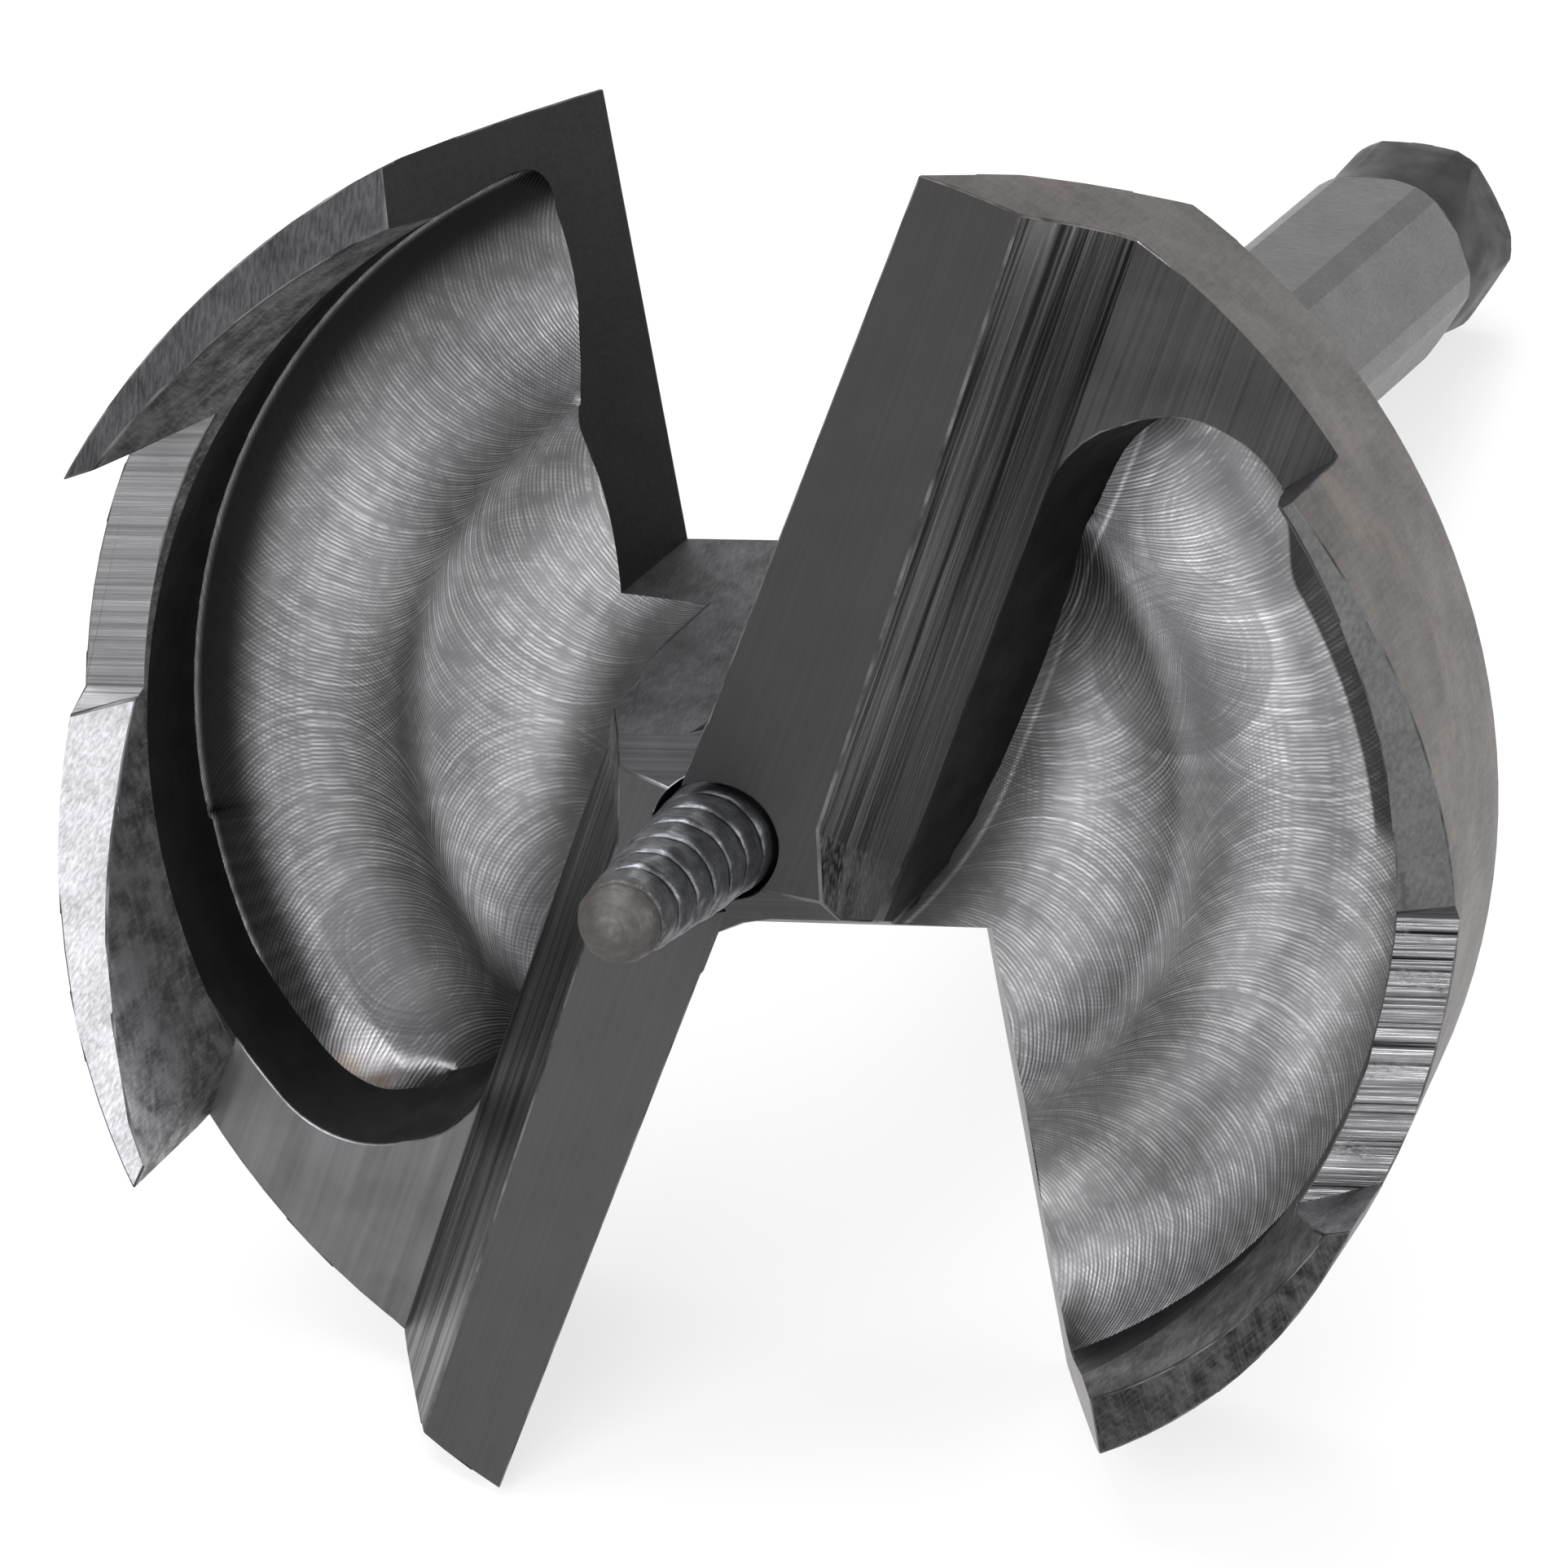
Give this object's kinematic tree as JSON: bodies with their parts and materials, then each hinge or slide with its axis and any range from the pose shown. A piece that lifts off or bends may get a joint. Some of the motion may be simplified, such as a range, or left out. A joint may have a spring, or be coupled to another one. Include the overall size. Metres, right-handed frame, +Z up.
{
  "type": "self-feed forstner wood bit",
  "caption": "Large self-feed wood bit: a winged steel head with rim teeth, milled chip pockets and slanted blades on a hexagon shank, with a worn feed screw held by a side set screw.",
  "frame": {"origin": "centre of the lying bit's bounding box, on the floor it rests on", "axes": "+Z up; +Y from the cutting face along the floor towards the shank's end; +X to the right seen from the cutting face"},
  "size_m": [0.076, 0.1332, 0.073],
  "materials": {
    "forged_steel": "dark worn steel with ground and milled faces",
    "blackened_steel": "black oxide, worn bright on the crests"
  },
  "bodies": {
    "root": {"bit_body": "forged_steel", "feed_screw": "blackened_steel", "set_screw": "blackened_steel"}
  },
  "joints": []
}
